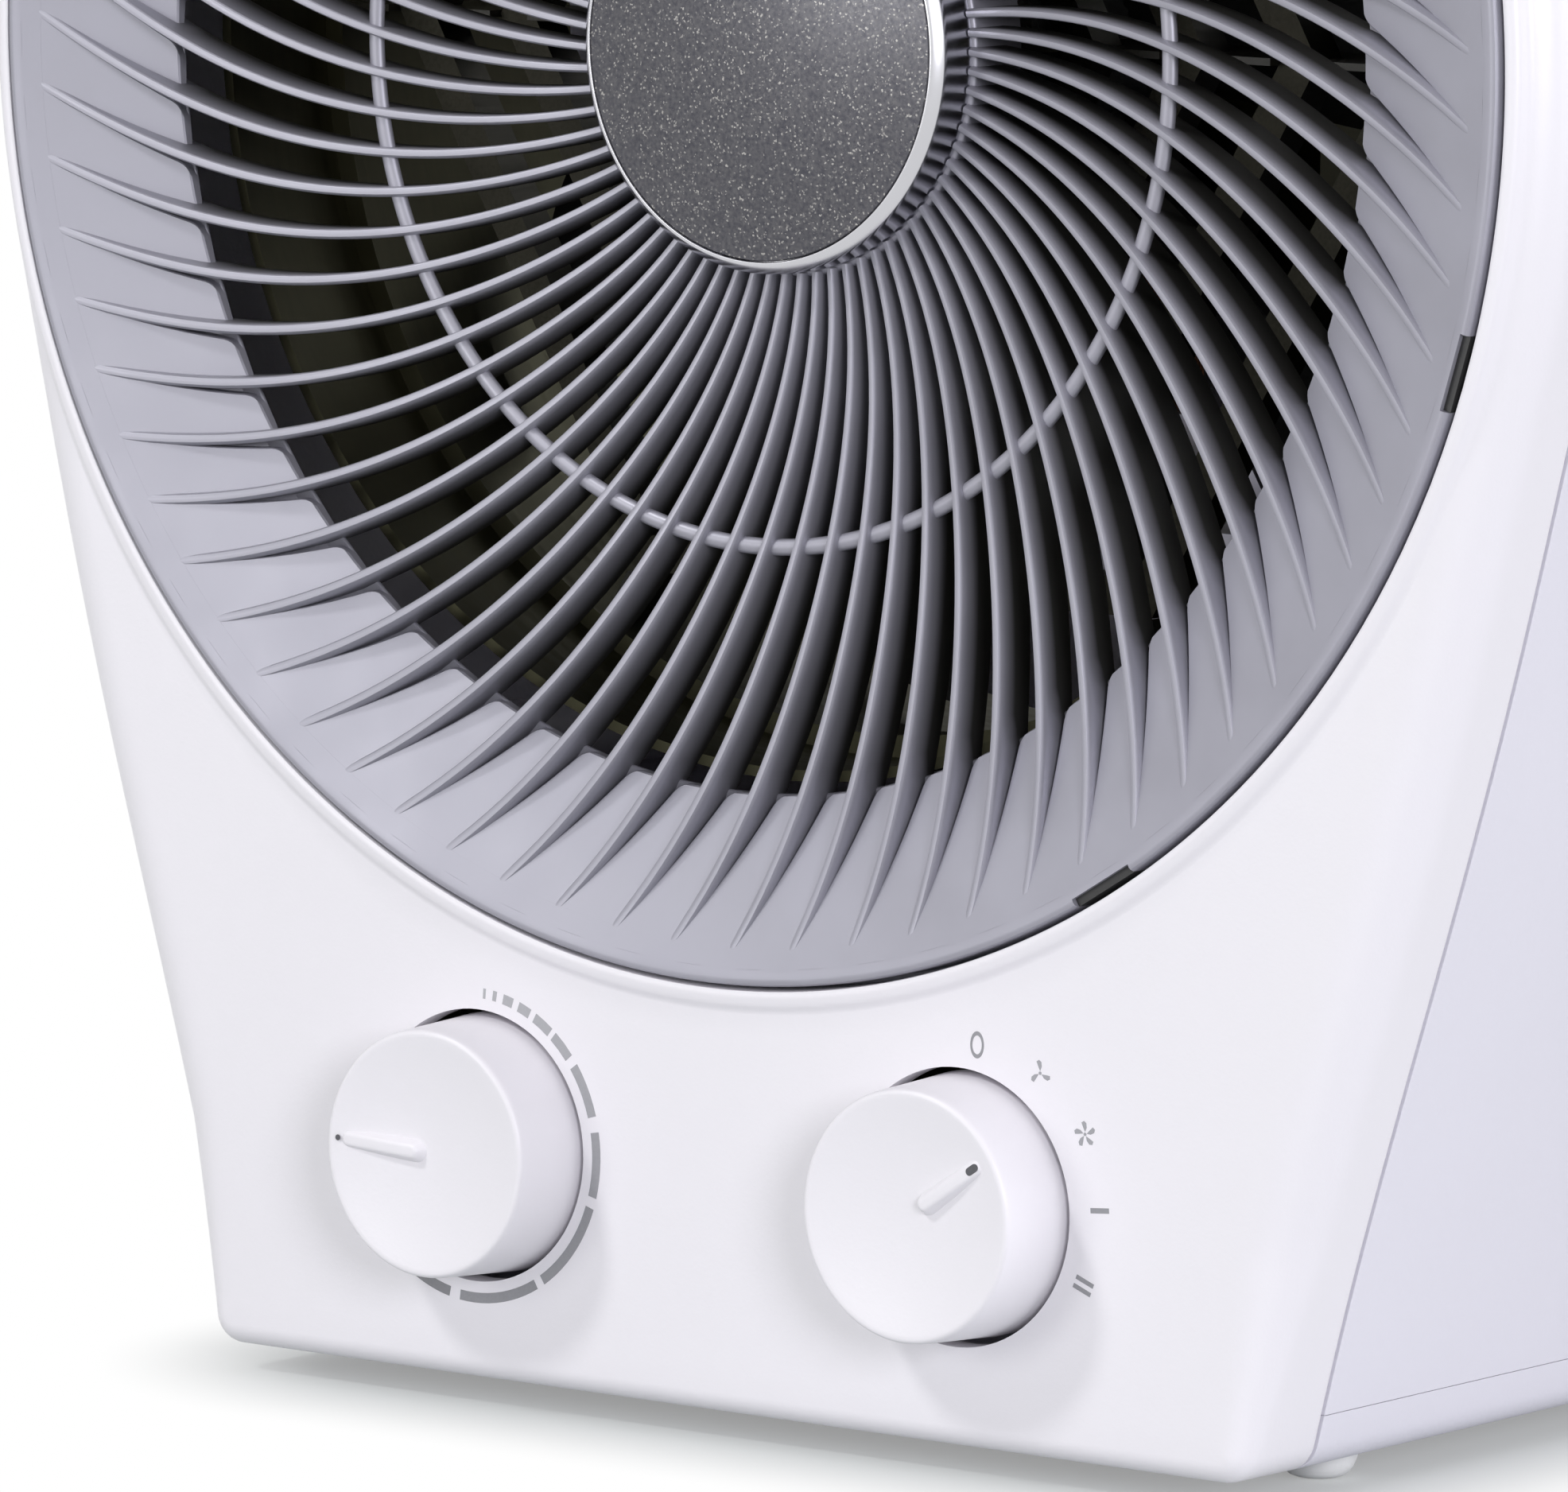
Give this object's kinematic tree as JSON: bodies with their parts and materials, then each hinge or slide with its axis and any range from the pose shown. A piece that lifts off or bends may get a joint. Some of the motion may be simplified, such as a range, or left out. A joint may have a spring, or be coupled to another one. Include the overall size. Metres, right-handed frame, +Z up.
{
  "type": "fan heater",
  "caption": "Round-topped table fan heater with a swirl-fin front grille, hub cap, louvred rear guard, thermostat and switch knobs on a flared base with feet.",
  "frame": {"origin": "bottom centre of the bounding box, on the floor under the middle of the body", "axes": "+Z up, the grille faces -Y, +X to the right seen from the front"},
  "size_m": [0.264, 0.1534, 0.3187],
  "materials": {
    "white_plastic": "satin white moulding",
    "casing_plastic": "fine-grained white moulding",
    "grey_plastic": "satin silver-grey moulding",
    "chrome_trim": "bright plated plastic",
    "silver_disc": "dark silver with metal flake",
    "dark_plastic": "black moulding",
    "foot_plastic": "white moulding",
    "sheet_steel": "zinc-plated sheet",
    "plated_steel": "zinc plated",
    "bronze": "plain",
    "copper_winding": "enamelled wire under tape",
    "mica": null,
    "heating_wire": "resistance wire"
  },
  "bodies": {
    "casing": {"front_panel": "white_plastic", "rear_casing": "casing_plastic", "base_tray": "casing_plastic", "front_grille": "grey_plastic", "rear_grille": "grey_plastic", "hub_cap": "chrome_trim", "hub_disc": "silver_disc", "cord_gland": "dark_plastic", "thermostat_body": "dark_plastic", "selector_switch": "dark_plastic", "terminal_block": "dark_plastic", "motor_bobbin": "dark_plastic", "foot_front_left": "foot_plastic", "foot_front_right": "foot_plastic", "foot_rear_left": "foot_plastic", "foot_rear_right": "foot_plastic", "fan_duct": "sheet_steel", "motor_bracket": "sheet_steel", "control_plate": "sheet_steel", "motor_core": "sheet_steel", "front_bearing_bridge": "sheet_steel", "rear_bearing_bridge": "sheet_steel", "heater_band": "sheet_steel", "thermal_cutout": "sheet_steel", "casing_screws": "plated_steel", "plate_screws": "plated_steel", "duct_screws": "plated_steel", "tray_screws": "plated_steel", "motor_screws": "plated_steel", "control_nuts": "plated_steel", "front_bearing": "bronze", "rear_bearing": "bronze", "control_terminals": "bronze", "thermal_fuse": "bronze", "motor_winding": "copper_winding", "heater_cards": "mica", "heater_coil_inner": "heating_wire", "heater_coil_outer": "heating_wire"},
    "fan": {"impeller": "dark_plastic", "motor_shaft": "plated_steel", "motor_rotor": "sheet_steel", "impeller_clip": "plated_steel"},
    "thermostat": {"thermostat_knob": "white_plastic", "thermostat_spindle": "plated_steel"},
    "selector": {"selector_knob": "white_plastic", "selector_spindle": "plated_steel"}
  },
  "joints": [
    {"name": "fan_spin", "type": "hinge", "parent": "casing", "child": "fan", "pos_m": [0, 0, 0.1867], "axis": [0, 1, 0], "continuous": true},
    {"name": "thermostat_turn", "type": "hinge", "parent": "casing", "child": "thermostat", "pos_m": [-0.0407, -0.065, 0.036], "axis": [0, 1, 0], "range_deg": [-270, 0]},
    {"name": "selector_turn", "type": "hinge", "parent": "casing", "child": "selector", "pos_m": [0.0407, -0.065, 0.036], "axis": [0, 1, 0], "range_deg": [-54, 54]}
  ]
}
